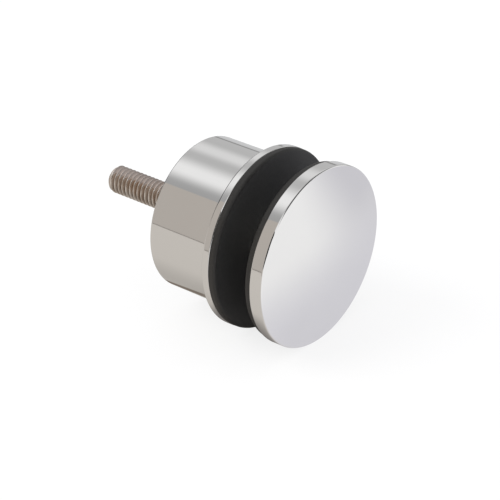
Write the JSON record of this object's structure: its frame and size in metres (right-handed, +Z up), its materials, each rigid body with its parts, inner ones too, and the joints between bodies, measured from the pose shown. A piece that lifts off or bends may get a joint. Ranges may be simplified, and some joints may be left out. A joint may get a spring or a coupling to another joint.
{
  "type": "glass panel standoff",
  "caption": "Point fixing for a glass panel: a flanged round base on a threaded wall stud, and a domed screw-in cap with rubber gaskets that clamps the glass.",
  "frame": {"origin": "centre of the base's back, where the wall stud leaves it and the wall begins", "axes": "+Y along the wall stud, into the wall; the cap faces -Y; +Z up"},
  "size_m": [0.0508, 0.0743, 0.0508],
  "materials": {
    "polished_steel": "mirror-polished stainless steel",
    "threaded_steel": "plain rolled thread, slightly warm and dull",
    "black_rubber": "satin black",
    "nylon": "natural, satin"
  },
  "bodies": {
    "base": {"base_barrel": "polished_steel", "wall_stud": "threaded_steel", "rear_gasket": "black_rubber"},
    "clamp": {"front_gasket": "black_rubber", "glass_bush": "nylon"},
    "cap": {"cap": "polished_steel", "cap_stud": "threaded_steel"}
  },
  "joints": [
    {"name": "cap_travel", "type": "slide", "parent": "base", "child": "clamp", "axis": [0, -1, 0], "range_m": [-0.0005, 0.0099]},
    {"name": "cap_turn", "type": "hinge", "parent": "clamp", "child": "cap", "pos_m": [0, -0.037, 0], "axis": [0, -1, 0], "range_deg": [-120, 2520]}
  ],
  "couplings": [
    {"joint": "cap_travel", "follows": "cap_turn", "m_per_rad": 0.00022457}
  ]
}
